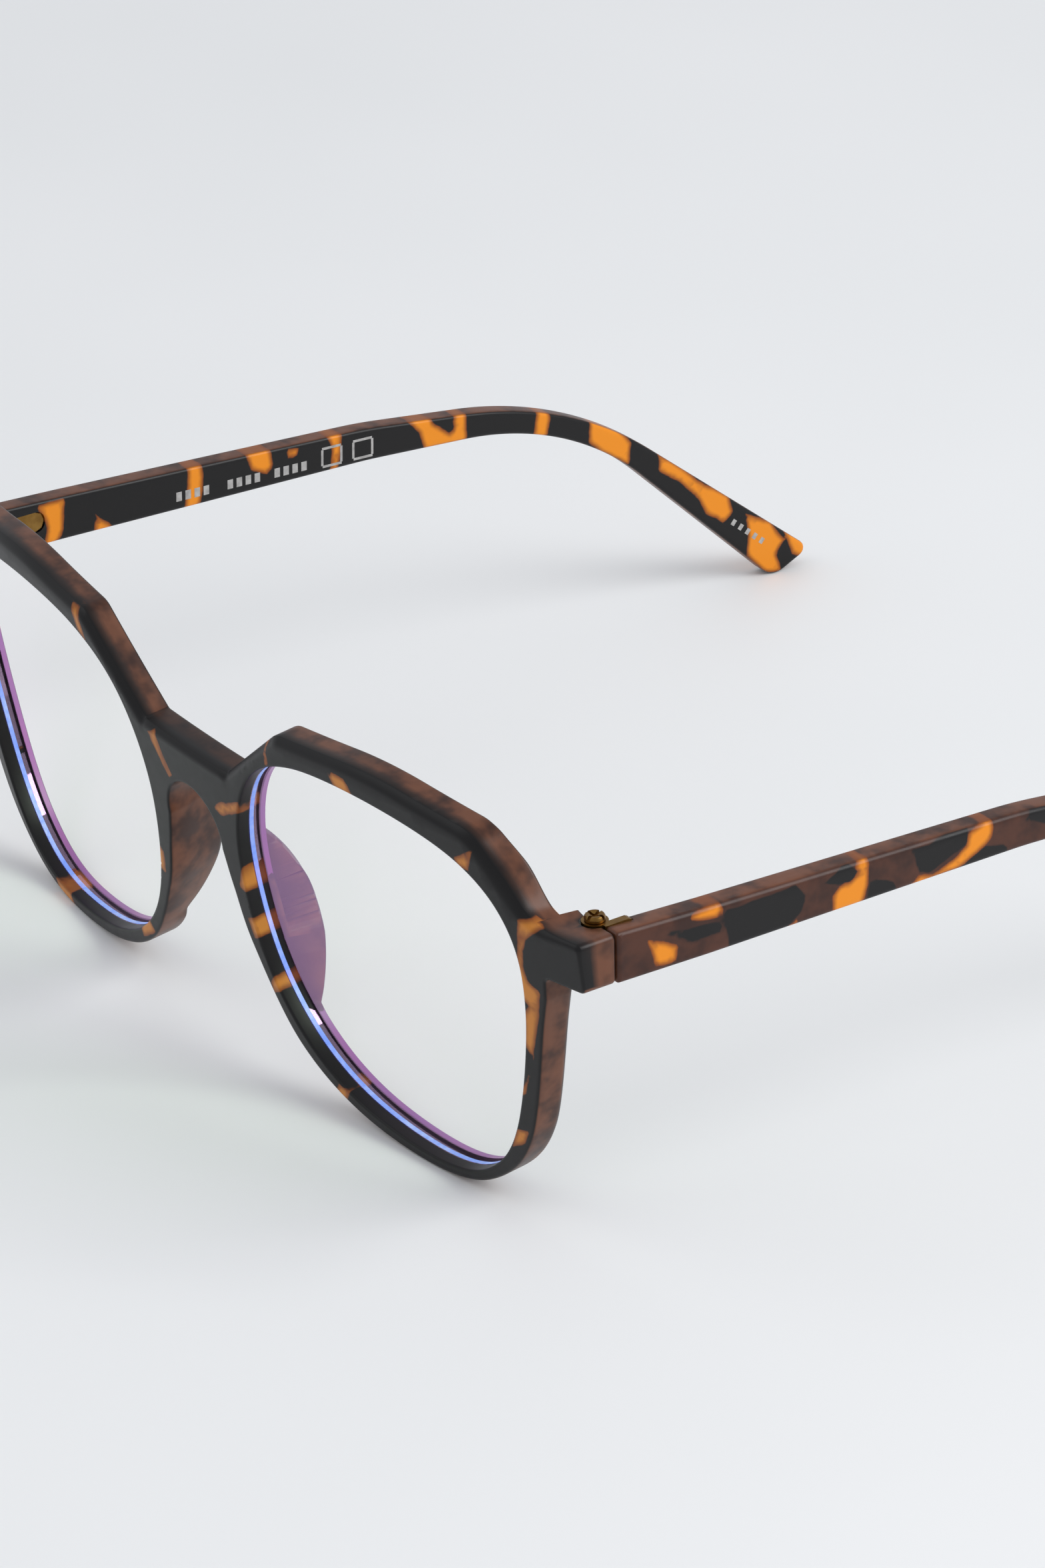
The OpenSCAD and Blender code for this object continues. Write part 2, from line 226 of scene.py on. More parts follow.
# The front's amber is browner than the temples'
# The last number is the strength of the amber's painted glow
front_shell = shell_material("tortoiseshell_front", "#7a3e14", "#c07a2e", 0.06)
temple_shell = shell_material("tortoiseshell_temple", "#7c3c0c", "#e08612", 0.08)


# ======================================================================================
# Front: both rims, the keyhole bridge, the end pieces and the moulded nose pads in one
# moulding. It is a plate between two surfaces over one outline, so every edge has its own
# roll: a wide soft chamfer along the top, fine rounds elsewhere.
# ======================================================================================

# Sizes are in mm in the plane of the front: x to the wearer's left, z up, depth backwards
LENS_W, LENS_H, LENS_GAP = 53.4, 49.4, 19.2
LENS_DEPTH, LENS_T, GROOVE = 1.7, 1.5, 0.4
FRONT_T, TILT, WRAP_R = 4.2, math.radians(7.2), 366.0
RIM_SIDE, RIM_BOTTOM, RIM_TOP = 2.6, 0.6, 3.5
END_X, END_TOP, END_H, END_D = LENS_GAP / 2 + LENS_W + 9.8, LENS_H - 7.5, 6.5, 4.9
BRIDGE_TOP, BRIDGE_H, ARCH_R = LENS_H - 8.3, 5.5, 5.9
ARCH_Z = BRIDGE_TOP - BRIDGE_H - ARCH_R
PAD_T, PAD_BACK, PAD_R, PAD_Z, PAD_FLARE = 2.2, 8.8, 15.8, ARCH_Z - 9, math.radians(12)
RIM_X = LENS_GAP / 2 + LENS_W + RIM_SIDE      # where the rim ends and the end piece starts
HINGE_IN, PART_GAP, LEAF_GAP = 4.2, 0.1, 0.1  # axis from the side, half the joint, leaf pocket
FINE_ROLL, TOP_ROLL, BRIDGE_ROLL = 0.35, 1.1, 0.75
CX, CZ = (LENS_GAP + LENS_W) / 2, LENS_H / 2
# The lens shape in halves of its width and height, fitted by a scratch program, and how wide
# the rim is beside some of its points, from RIM_BOTTOM (0) to RIM_SIDE (1)
LENS_SHAPE = [(0.989, 0.177), (0.947, 0.63), (0.673, 0.897), (0.137, 0.996), (-0.449, 0.955),
              (-0.821, 0.733), (-0.996, 0.28), (-0.935, -0.296), (-0.696, -0.7),
              (-0.304, -0.93), (0.247, -1.0), (0.597, -0.877), (0.829, -0.527)]
RIM_SHAPE = [(0, 1), (12, 0.75), (11, 0.27), (10, 0.19), (9, 0.34), (8, 0.52), (7, 0.62)]


def between(a, b, c, d, t):
    """Catmull-Rom spline from b to c."""
    return (b + t * (c - a) / 2 + t * t * (a - 2.5 * b + 2 * c - d / 2)
            + t ** 3 * (1.5 * (b - c) + (d - a) / 2))


def smooth_loop(k, steps):
    n = len(k)
    return np.array([between(k[i - 1], k[i], k[(i + 1) % n], k[(i + 2) % n], s / steps)
                     for i in range(n) for s in range(steps)])


def smooth_path(k, steps):
    k = [2 * k[0] - k[1], *k, 2 * k[-1] - k[-2]]
    return [between(*k[i - 1:i + 3], s / steps)
            for i in range(1, len(k) - 2) for s in range(steps)] + [k[-2]]


def rounded_corner(a, v, b, r, chord=0.25):
    """Points of the arc of radius r that rounds corner v between a and b."""
    a, v, b = (np.array(p, float) for p in (a, v, b))
    if r == 0:
        return [v]
    u, w = (a - v) / np.linalg.norm(a - v), (b - v) / np.linalg.norm(b - v)
    half = math.acos(np.clip(u @ w, -1, 1)) / 2
    centre = v + (u + w) / np.linalg.norm(u + w) * r / math.sin(half)
    start, end = v + u * r / math.tan(half) - centre, v + w * r / math.tan(half) - centre
    first = math.atan2(start[1], start[0])
    sweep = (math.atan2(end[1], end[0]) - first + math.pi) % (2 * math.pi) - math.pi
    steps = max(3, math.ceil(r * abs(sweep) / chord))
    return [centre + r * np.array([math.cos(first + sweep * k / steps),
                                   math.sin(first + sweep * k / steps)])
            for k in range(steps + 1)]


def rounded_loop(corners, chord=0.25):
    n = len(corners)
    return np.array([p for i in range(n) for p in rounded_corner(
        corners[i - 1][:2], corners[i][:2], corners[(i + 1) % n][:2], corners[i][2], chord)])


def refined(loop, step):
    """The same loop with no side longer than step."""
    points = []
    for a, b in zip(loop, np.roll(loop, -1, 0)):
        n = max(1, math.ceil(np.linalg.norm(b - a) / step))
        points += [a + (b - a) * k / n for k in range(n)]
    return np.array(points)


def normals(loop):
    """Unit normals of an anticlockwise loop, outwards."""
    t = np.roll(loop, -1, 0) - np.roll(loop, 1, 0)
    t /= np.linalg.norm(t, axis=1)[:, None]
    return np.stack([t[:, 1], -t[:, 0]], 1)


def inside(points, loops):
    """Which points lie within an odd number of the loops."""
    hit = np.zeros(len(points), bool)
    for loop in loops:
        for a, b in zip(loop, np.roll(loop, -1, 0)):
            if a[1] == b[1]:
                continue
            crosses = (points[:, 1] < a[1]) != (points[:, 1] < b[1])
            x = a[0] + (points[:, 1] - a[1]) * (b[0] - a[0]) / (b[1] - a[1])
            hit ^= crosses & (points[:, 0] < x)
    return hit


def to_edge(points, loop, values):
    """Distance from each point to the loop, and the loop's value at the nearest place."""
    a, b = loop, np.roll(loop, -1, 0)
    va, vb = values, np.roll(values, -1)
    best, val = np.empty(len(points)), np.empty(len(points))
    d = b - a
    dd = np.maximum((d ** 2).sum(1), 1e-12)
    for k in range(0, len(points), 2000):
        p = points[k:k + 2000, None] - a[None]
        t = np.clip((p * d[None]).sum(2) / dd[None], 0, 1)
        gap = np.linalg.norm(p - t[..., None] * d[None], axis=2)
        i = gap.argmin(1)
        row = np.arange(len(i))
        best[k:k + 2000] = gap[row, i]
        val[k:k + 2000] = va[i] + t[row, i] * (vb[i] - va[i])
    return best, val


def domain(loops, rings, grid, extra=()):
    """Points and triangles that fill the loops: close rows along the edges, a grid inside."""
    points = [np.concatenate(loops)]
    for loop, sign in zip(loops, [1] + [-1] * (len(loops) - 1)):
        inward = -normals(loop) * sign
        for d in rings:
            row = loop + inward * d
            gap = min_gap(row, loops)
            points.append(row[(gap > 0.93 * d) & inside(row, loops)])
    lo, hi = loops[0].min(0), loops[0].max(0)
    xs, zs = np.arange(lo[0], hi[0], grid), np.arange(lo[1], hi[1], grid * 0.866)
    gx, gz = np.meshgrid(xs, zs)
    gx = gx + (np.arange(len(zs)) % 2)[:, None] * grid / 2
    cells = np.stack([gx.ravel(), gz.ravel()], 1)
    cells = cells[inside(cells, loops)]
    points.append(cells[min_gap(cells, loops) > rings[-1] + grid * 0.4])
    for row in extra:
        row = np.array(row)
        points.append(row[inside(row, loops)])
    points = np.concatenate(points)
    edges, start = [], 0
    for loop in loops:
        n = len(loop)
        edges += [(start + i, start + (i + 1) % n) for i in range(n)]
        start += n
    verts, _, faces, origin, _, _ = delaunay_2d_cdt(
        [Vector(p) for p in points], edges, [], 0, 1e-6)
    verts = np.array([tuple(v) for v in verts])
    faces = np.array(faces)
    faces = faces[inside(verts[faces].mean(1), loops)]
    home = {o: i for i, group in enumerate(origin) for o in group}
    boundary = [home[i] for i in range(start)]
    return verts, faces, boundary


def min_gap(points, loops):
    """Distance from each point to the nearest of the loops."""
    return np.min([to_edge(points, loop, np.zeros(len(loop)))[0] for loop in loops], axis=0)


def plate(name, loops, surface, face, rear, walls, rings, grid, extra=()):
    """A closed mesh over a flat outline. face(points) and rear(points) give depths, and
    surface(points, depth) gives places in the object's frame. walls gives, for each loop,
    the rows between its front and rear edges as (share of the way or a function, inset)."""
    points, tris, boundary = domain(loops, rings, grid, extra)
    front_d, rear_d = face(points), rear(points)
    n = len(points)
    verts = [surface(points, front_d), surface(points, rear_d)]
    faces = [tuple(t) for t in tris] + [tuple(n + i for i in t[::-1]) for t in tris]
    total, start = 2 * n, 0
    for loop, rows, sign in zip(loops, walls, [1] + [-1] * (len(loops) - 1)):
        m = len(loop)
        edge = boundary[start:start + m]
        start += m
        out_n = normals(loop) * sign
        fd, rd = front_d[edge], rear_d[edge]
        strips = [list(edge)]
        for share, shift in rows:
            depth = share(fd, rd) if callable(share) else fd + (rd - fd) * share
            verts.append(surface(loop - out_n * shift, depth))
            strips.append(list(range(total, total + m)))
            total += m
        strips.append([n + i for i in edge])
        for a, b in zip(strips, strips[1:]):
            for i in range(m):
                j = (i + 1) % m
                quad = (a[i], a[j], b[j], b[i])
                faces.append(quad[::-1] if sign > 0 else quad)
    mesh = bpy.data.meshes.new(name)
    mesh.from_pydata([tuple(v) for v in np.concatenate(verts)], [], faces)
    bm = bmesh.new()
    bm.from_mesh(mesh)
    bmesh.ops.recalc_face_normals(bm, faces=bm.faces)
    bm.to_mesh(mesh)
    bm.free()
    obj = bpy.data.objects.new(name, mesh)
    bpy.context.collection.objects.link(obj)
    return obj


def roll(d, width, height, p):
    """Depth of a rolled edge at distance d from it: a round for p = 2, a chamfer for p = 1."""
    u = np.clip(1 - d / width, 0, 1)
    return height * (1 - (1 - u ** p) ** (1 / p))


def ease(x, lo, hi):
    """0 below lo, 1 above hi, and a smooth step between."""
    t = np.clip((x - lo) / (hi - lo), 0, 1)
    return t * t * (3 - 2 * t)


lens_knots = np.array([(CX + x * LENS_W / 2, CZ + z * LENS_H / 2) for x, z in LENS_SHAPE])
lens_loop = smooth_loop(lens_knots, 20)
open_loop = lens_loop - GROOVE * normals(lens_loop)
knot_n = normals(lens_knots)
rim_knots = [lens_knots[i] + knot_n[i] * (RIM_BOTTOM + w * (RIM_SIDE - RIM_BOTTOM))
             for i, w in RIM_SHAPE]
under = np.array([RIM_X + 0.7, END_TOP - END_H - 3])
# Corners of the upper outline as (x, z, radius), from the bridge out to the end piece
tops = [(-ARCH_R - 3.3, BRIDGE_TOP, 0), (ARCH_R + 3.3, BRIDGE_TOP, 0.6),
        (CX - 0.554 * LENS_W / 2, LENS_H + RIM_TOP - 1.7, 3),
        (CX + 0.101 * LENS_W / 2, LENS_H + RIM_TOP, 60),
        (CX + 0.76 * LENS_W / 2, LENS_H + RIM_TOP - 1.8, 5),
        (LENS_GAP / 2 + LENS_W + 2, END_TOP, 7), (END_X, END_TOP, 0.8),
        (END_X, END_TOP - END_H, 0.8), (under[0] + 0.3, END_TOP - END_H, 0.8), (*under, 0)]
half = [p for a, v, b in zip(tops, tops[1:], tops[2:])
        for p in rounded_corner(a[:2], v[:2], b[:2], v[2])]
nose_knots = [np.array((ARCH_R + 1.2, ARCH_Z - 5.4)), np.array((ARCH_R, ARCH_Z - 0.6))]
half += smooth_path([under, *rim_knots, *nose_knots], 20)
arch = [np.array((ARCH_R * math.cos(a), ARCH_Z + ARCH_R * math.sin(a)))
        for a in np.radians(range(0, 181, 5))]
outer_loop = np.array(half + arch + [p * (-1, 1) for p in reversed(half)])[::-1]
outer_loop = refined(outer_loop, 0.5)
loops = [outer_loop, open_loop, (open_loop * (-1, 1))[::-1]]


def wrap(x, depth=0.0):
    return WRAP_R - np.sqrt((WRAP_R - depth) ** 2 - x ** 2)


def lean(x, y, z):
    """From the plane of the front to the leaning front, before it is set on the table."""
    return np.stack([x, y * math.cos(TILT) - z * math.sin(TILT),
                     y * math.sin(TILT) + z * math.cos(TILT)], -1)


faced = lean(outer_loop[:, 0], wrap(outer_loop[:, 0]), outer_loop[:, 1])
LIFT = -faced[:, 2].min()
HINGE_X = END_X - HINGE_IN
HINGE_Y = lean(END_X, wrap(END_X), END_TOP - END_H / 2)[1] + END_D
END_Z1 = lean(END_X, wrap(END_X), END_TOP)[2] + LIFT
END_Z0 = END_Z1 - END_H
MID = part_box("hinge_screw_left")
SHIFT = (MID[0][1] + MID[1][1]) / 2 / MM - HINGE_Y     # puts the axis where the CAD has it
FACE_Y = HINGE_Y - PART_GAP

# Edge rolls along the outline: wide along the top, fine elsewhere
out_n = normals(outer_loop)
ax = abs(outer_loop[:, 0])
on_top = (out_n[:, 1] > 0.2) & (outer_loop[:, 1] > ARCH_Z + ARCH_R + 1)
roll_w = np.where(on_top, np.where(ax < 9.0, BRIDGE_ROLL, TOP_ROLL), FINE_ROLL)
roll_w = np.where(on_top, roll_w - 0.5 * ease(ax, 63, 71), roll_w)
for _ in range(5):
    roll_w = (np.roll(roll_w, 1) + 2 * roll_w + np.roll(roll_w, -1)) / 4
outer_side = (out_n[:, 1] < 0.35) & (ax > 30) & (outer_loop[:, 1] < END_TOP - END_H)
rear_w = np.where(outer_side, 1.25, 0.45)
for _ in range(12):
    rear_w = (np.roll(rear_w, 1) + 2 * rear_w + np.roll(rear_w, -1)) / 4
nose = ((abs(outer_loop[:, 0]) < 20) & (outer_loop[:, 1] < ARCH_Z + 0.6 * ARCH_R)
        & (outer_loop[:, 1] > 3.0)).astype(float)


def pad_depth(z):
    """How far back a pad's edge reaches: an arc in the side view."""
    return PAD_BACK - PAD_R + np.sqrt(np.maximum(PAD_R ** 2 - (z - PAD_Z) ** 2, 0))


def front_face(p):
    d, w = to_edge(p, outer_loop, roll_w)
    wide = np.clip((w - FINE_ROLL) / 0.3, 0, 1)
    outer = roll(d, w, w * (1 - 0.2 * wide), 2 - 0.75 * wide)
    inner = min_gap(p, loops[1:])
    return np.maximum(outer, roll(inner, 0.3, 0.3, 2))


def block_rear(p, inset):
    """Depth at which the end piece meets the gap plane, which stands upright."""
    y0 = wrap(p[:, 0])
    height = p[:, 1] + y0 * math.tan(TILT)
    y = (FACE_Y - inset + height * math.sin(TILT)) * math.cos(TILT)
    return WRAP_R - np.hypot(WRAP_R - y, p[:, 0])


def front_rear(p):
    d, is_nose = to_edge(p, outer_loop, nose)
    inner = min_gap(p, loops[1:])
    w = to_edge(p, outer_loop, rear_w)[1]
    rear = FRONT_T - np.maximum(roll(d, w, w, 2), roll(inner, 0.4, 0.4, 2))
    across = np.minimum(np.minimum(d, PAD_T - d + 0.02), inner + 0.12)
    pad = pad_depth(p[:, 1]) - roll(across, 0.9, 0.9, 2)
    rear = np.where((is_nose > 0.5) & (d < PAD_T) & (abs(p[:, 0]) < 20), np.maximum(rear, pad), rear)
    block = (abs(p[:, 0]) > RIM_X + 0.02) & (p[:, 1] > END_TOP - END_H - 0.02)
    return np.where(block, block_rear(p, roll(d, 0.4, 0.4, 2)), rear)


def front_surface(p, depth):
    """Places in the object's frame, in metres: wrapped, pads flared, end pieces level."""
    x, z = p[:, 0], p[:, 1]
    y = wrap(x, depth)
    level = ease(abs(x), 62.0, 65.4)
    d, is_nose = to_edge(p, outer_loop, nose)
    swell = ease(abs(x), 56, 62) * (1 - ease(abs(x), 61, 64.5)) * (1 - ease(d, 0, 3)) * (z > 39)
    z_in = z - level * (y - wrap(x)) * math.tan(TILT) + 1.5 * swell * depth / FRONT_T
    zone = is_nose * (1 - ease(d, 2.4, 3.6)) * ease(pad_depth(z), FRONT_T - 1.5, FRONT_T + 1)
    x_in = x + np.sign(x) * zone * np.maximum(depth - 2.0, 0) * math.tan(PAD_FLARE)
    q = lean(x_in, y, z_in)
    return (q + (0, SHIFT, LIFT)) * MM


def block_rows():
    """Two close rows down the rim beside each end piece, where its wall rises."""
    zs = np.arange(END_TOP - END_H + 0.05, END_TOP + 1.5, 0.3)
    return [[(s * (RIM_X + d), z) for z in zs] for s in (1, -1) for d in (-0.04, 0.06)]


def pad_rows():
    """Two close rows along the inner foot of each pad, where its wall rises."""
    rows = []
    for d in (PAD_T - 0.04, PAD_T + 0.05):
        row = (outer_loop - normals(outer_loop) * d)[nose > 0.5]
        gap = to_edge(row, outer_loop, nose)[0]
        rows.append([tuple(q) for q, g in zip(row, gap) if g > 0.97 * d])
    return rows


lip = LENS_DEPTH - 0.05, LENS_DEPTH + LENS_T + 0.05
groove_rows = [((lambda f, r, k=k: np.full_like(f, lip[k])), s) for k, s in
               ((0, 0.0), (0, GROOVE + 0.05), (1, GROOVE + 0.05), (1, 0.0))]
rim_rows = [(0.25, 0.0), (0.5, 0.0), (0.75, 0.0)]
front = plate("front_moulding", loops, front_surface, front_face, front_rear,
              [rim_rows, groove_rows, groove_rows], (0.03, 0.09, 0.18, 0.3, 0.5, 0.8, 1.15), 1.1,
              block_rows() + pad_rows())


def prism(name, outline, axis, lo, hi):
    """A cutter: an outline in millimetres in the object's frame, drawn out along one axis."""
    bm = bmesh.new()
    rings = []
    for t in (lo, hi):
        place = {"x": lambda u, v: (t, u, v), "z": lambda u, v: (u, v, t)}[axis]
        rings.append([bm.verts.new(Vector(place(*p)) * MM) for p in outline])
    n = len(outline)
    bm.faces.new(rings[0])
    bm.faces.new(rings[1][::-1])
    for i in range(n):
        bm.faces.new((rings[0][i], rings[1][i], rings[1][(i + 1) % n], rings[0][(i + 1) % n]))
    bmesh.ops.recalc_face_normals(bm, faces=bm.faces)
    mesh = bpy.data.meshes.new(name)
    bm.to_mesh(mesh)
    bm.free()
    obj = bpy.data.objects.new(name, mesh)
    bpy.context.collection.objects.link(obj)
    return obj


def carve(obj, cutters):
    """Cuts the cutters out of a piece, and deletes them."""
    for cutter in cutters:
        cut = obj.modifiers.new("cut", "BOOLEAN")
        cut.operation = "DIFFERENCE"
        cut.solver = "EXACT"
        cut.object = cutter
    done = bpy.data.meshes.new_from_object(
        obj.evaluated_get(bpy.context.evaluated_depsgraph_get()))
    obj.modifiers.clear()
    obj.data = done
    for cutter in cutters:
        bpy.data.objects.remove(cutter)


def circle(x, y, r, n=48):
    return [(x + r * math.cos(2 * math.pi * i / n), y + r * math.sin(2 * math.pi * i / n))
            for i in range(n)]


# Room for the barrels round the axis, and the pocket of the front leaf beside it
BARREL_ROOM, BELOW, ABOVE = 1.8, 30, 60
POCKET_IN, POCKET_OUT, POCKET_DEEP, POCKET_HALF = 1.08, 2.12, 3.82, 1.17
END_MID = (END_Z0 + END_Z1) / 2
AXIS_Y = HINGE_Y + SHIFT
pocket = ((POCKET_IN, 0.3), (POCKET_IN, -POCKET_DEEP), (POCKET_OUT, -POCKET_DEEP), (POCKET_OUT, 0.3))
cuts = [prism("cut", circle(s * HINGE_X, AXIS_Y, BARREL_ROOM), "z", BELOW, ABOVE) for s in (1, -1)]
cuts += [prism("cut", [(s * (HINGE_X + a), AXIS_Y + b) for a, b in pocket], "z",
               END_MID - POCKET_HALF, END_MID + POCKET_HALF) for s in (1, -1)]
carve(front, cuts)


def island(u, v, outline):
    """Signed distance from an island's outline in mm: positive inside, negative outside."""
    loop = np.array(outline, float)
    points = np.stack([u, v], 1)
    gap = to_edge(points, loop, np.zeros(len(loop)))[0]
    return np.where(inside(points, [loop]), gap, -gap)


def paint(obj, local, amber_islands, dark_islands, base_dark, facing, faces_only=None):
    """Paints the islands. local gives each vertex's place on the piece, in millimetres.
    base_dark is how black the piece is away from its islands, and the wall weight marks its walls and
    edges by the way they face, for the brown body and a painted sheen there."""
    mesh = obj.data
    co = np.empty(len(mesh.vertices) * 3)
    mesh.vertices.foreach_get("co", co)
    co = co.reshape(-1, 3) / MM
    vn = np.array([tuple(v.normal) for v in mesh.vertices])
    u, v = local(co)
    amber = np.max([island(u, v, k) for k in amber_islands], 0)
    dark = np.full(len(co), float(base_dark))
    for k in dark_islands:
        field = island(u, v, k)
        dark = np.maximum(dark, field)
        amber = np.minimum(amber, -field)
    along = abs(vn @ np.array(facing))
    # Weight for walls and edges by the way they face: the brown body and a painted sheen
    wall_brown_and_painted_sheen = 1 - ease(along, 0.25, 0.6)
    if faces_only is not None:
        amber, wall_brown_and_painted_sheen = faces_only(co, along, amber, wall_brown_and_painted_sheen)
    for name, values in (("amber", amber), ("dark", dark), ("wall_brown_and_painted_sheen", wall_brown_and_painted_sheen)):
        layer = mesh.attributes.new(name, "FLOAT", "POINT")
        layer.data.foreach_set("value", np.clip(values, -9, 9).astype(np.float32))


def finish_shape(obj, angle=38):
    mesh = obj.data
    mesh.polygons.foreach_set("use_smooth", [True] * len(mesh.polygons))
    mesh.set_sharp_from_angle(angle=math.radians(angle))


def front_local(co):
    y, z = co[:, 1] - SHIFT, co[:, 2] - LIFT
    return co[:, 0], z * math.cos(TILT) - y * math.sin(TILT)


# Islands of the front, as outlines in its own plane. Those beside the nose and on the left
# rim were measured with a scratch program, and those further right are invented
FRONT_AMBER = [
    [(63.3, 42.6), (66.1, 42.8), (67.8, 42.7), (65.9, 41.3), (64.4, 39.7), (63.6, 37.5),
     (63.4, 35.4), (64.0, 34.2), (65.9, 34.4), (65.4, 32.4), (64.7, 29.4), (63.3, 24.6),
     (61.8, 20.2), (60.6, 17.2), (59.3, 16.6), (60.9, 20.9), (61.2, 23.7), (62.0, 27.3),
     (61.8, 32.7), (62.0, 35.4), (62.7, 38.3)],
    [(57.9, 11.4), (60.2, 11.8), (59.2, 9.7), (56.6, 8.1)],
    [(53.9, 47.2), (57.2, 49.2), (56.3, 46.0), (54.4, 46.3)],
    [(-8.2, 39.9), (-6.2, 41.0), (-5.2, 38.0), (-3.4, 35.6), (-4.4, 34.8), (-6.1, 37.1)],
    [(19.2, 46.4), (20.2, 46.5), (20.1, 50.5), (19.5, 50.5)],
    [(32.1, 51.0), (33.4, 48.8), (36.9, 48.6), (35.6, 50.9)],
    [(5.2, 34.7), (7.4, 36.5), (11.9, 38.4), (11.3, 36.4), (7.6, 34.4)],
    [(9.9, 28.4), (11.6, 28.4), (11.3, 25.4), (9.9, 24.6), (8.5, 25.1)],
    [(9.2, 21.0), (12.3, 21.9), (12.7, 19.5), (10.3, 18.1)],
    [(13.8, 14.9), (15.1, 14.4), (14.8, 12.4), (12.6, 11.4), (12.2, 12.9)],
    [(24.0, 3.4), (26.2, 3.0), (25.2, 1.0), (23.0, 1.8)],
    [(-61.0, 30.0), (-65.6, 33.0), (-66.2, 27.0), (-63.6, 21.0), (-61.6, 22.0), (-62.8, 27.0)],
    [(-57.0, 46.5), (-60.4, 45.4), (-59.4, 42.0), (-56.4, 44.6)],
    [(-21.0, 47.0), (-22.4, 51.4), (-24.4, 51.4), (-23.0, 48.0)],
    [(-9.4, 22.0), (-11.8, 23.6), (-11.6, 19.0), (-9.8, 18.6)],
    [(-17.6, 9.0), (-15.8, 7.2), (-19.8, 4.6), (-20.4, 6.4)],
    [(-42.0, 0.6), (-46.6, 0.8), (-45.6, -1.4), (-41.0, -1.2)]]
FRONT_DARK = [
    [(67.2, 41.9), (72.9, 42.2), (72.9, 34.6), (66.3, 33.0), (63.7, 34.0), (63.3, 35.8), (64.2, 38.8)],
    [(62.4, 31.0), (63.3, 30.6), (62.3, 29.4)],
    [(61.7, 24.2), (62.7, 22.8), (62.7, 21.4), (61.3, 20.1), (60.2, 18.3), (60.7, 21.4)],
    [(58.6, 15.4), (61.9, 15.9), (60.6, 12.4), (58.0, 12.1)],
    [(9.5, 24.3), (10.4, 23.0), (8.6, 20.9), (7.6, 22.5)]]


def front_faces(co, along, amber, wall_brown_and_painted_sheen):
    """Amber shows on the face, the inner edge and the back, not on the pads or outer walls."""
    x, v = front_local(co)
    y = co[:, 1] - SHIFT
    depth = y * math.cos(TILT) + (co[:, 2] - LIFT) * math.sin(TILT) - wrap(x)
    lip = min_gap(np.stack([x, v], 1), loops[1:]) < 0.15
    behind_nose = (abs(x) < 20) & (v < ARCH_Z + 3)
    shown = (depth < 1.8) | ((along > 0.6) & (depth < FRONT_T + 0.2) & ~behind_nose)
    wall_brown_and_painted_sheen = np.where(lip & (depth < FRONT_T), 0.0, wall_brown_and_painted_sheen)
    # The wide chamfer along the top, and the top of the bridge, lose the brown body and painted sheen,
    # so they are as black as the face
    wall_brown_and_painted_sheen = np.where(v > 36, wall_brown_and_painted_sheen * ease(depth, 1.3, 2.3), wall_brown_and_painted_sheen)
    wall_brown_and_painted_sheen = np.where((abs(x) < ARCH_R + 3.4) & (v > BRIDGE_TOP - 2), wall_brown_and_painted_sheen * 0.3, wall_brown_and_painted_sheen)
    return np.where(shown, amber, np.minimum(amber, -0.6)), wall_brown_and_painted_sheen


paint(front, front_local, FRONT_AMBER, FRONT_DARK, 4.0, (0, math.cos(TILT), math.sin(TILT)),
      front_faces)
finish_shape(front)
front.data.materials.clear()
front.data.materials.append(front_shell)
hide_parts("front_frame")
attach(front, "front")


# ======================================================================================
# Lenses: clear plastic, 1.5 mm thick, snapped into the groove of each rim. The coating on
# the front reflects violet; a painted blue glow stands for light leaving the plastic at its edge.
# ======================================================================================
mat, tree, out, node = new_material("coated_lens")
clear = node("ShaderNodeBsdfTransparent", {"Color": srgb("#eef6ec")})
coat = node("ShaderNodeBsdfGlossy", {"Color": srgb("#96749a"), "Roughness": 0.03})
both = node("ShaderNodeAddShader", {0: clear.outputs[0], 1: coat.outputs[0]})
tree.links.new(both.outputs[0], out.inputs[0])
lens_mat = mat

mat, tree, out, node = new_material("clear_lens")
clear = node("ShaderNodeBsdfTransparent", {"Color": srgb("#eef6ec")})
tree.links.new(clear.outputs[0], out.inputs[0])
rear_mat = mat

mat, tree, out, node = new_material("lens_edge_painted_glow")
coord = node("ShaderNodeTexCoord").outputs["Object"]
bands = node("ShaderNodeTexNoise", {"Vector": coord, "Scale": 160.0, "Detail": 1.0})
fine = node("ShaderNodeTexNoise", {"Vector": coord, "Scale": 1500.0, "Detail": 1.0})
tone = node("ShaderNodeMix", {0: bands.outputs["Fac"], 6: srgb("#2e60ea"), 7: srgb("#e4eafc")},
            data_type="RGBA")
tone = node("ShaderNodeMix", {0: fine.outputs["Fac"], 6: tone.outputs[2], 7: srgb("#5f86f4")},
            data_type="RGBA")
# Emission makes this a painted glow, for the light that leaves the lens at its edge
rim_glow = node("ShaderNodeBsdfPrincipled", {
    "Base Color": tone.outputs[2], "Roughness": 0.25,
    "Emission Color": tone.outputs[2], "Emission Strength": 0.35})
tree.links.new(rim_glow.outputs[0], out.inputs[0])
painted_edge_glow_mat = mat

mat, tree, out, node = new_material("coating_glint")
coord = node("ShaderNodeTexCoord").outputs["Object"]
bands = node("ShaderNodeTexNoise", {"Vector": coord, "Scale": 120.0, "Detail": 1.0})
tone = node("ShaderNodeMix", {0: bands.outputs["Fac"], 6: srgb("#5c2f86"), 7: srgb("#9a3f86")},
            data_type="RGBA")
glint = node("ShaderNodeBsdfPrincipled", {"Base Color": tone.outputs[2], "Roughness": 0.3})
tree.links.new(glint.outputs[0], out.inputs[0])
glint_mat = mat


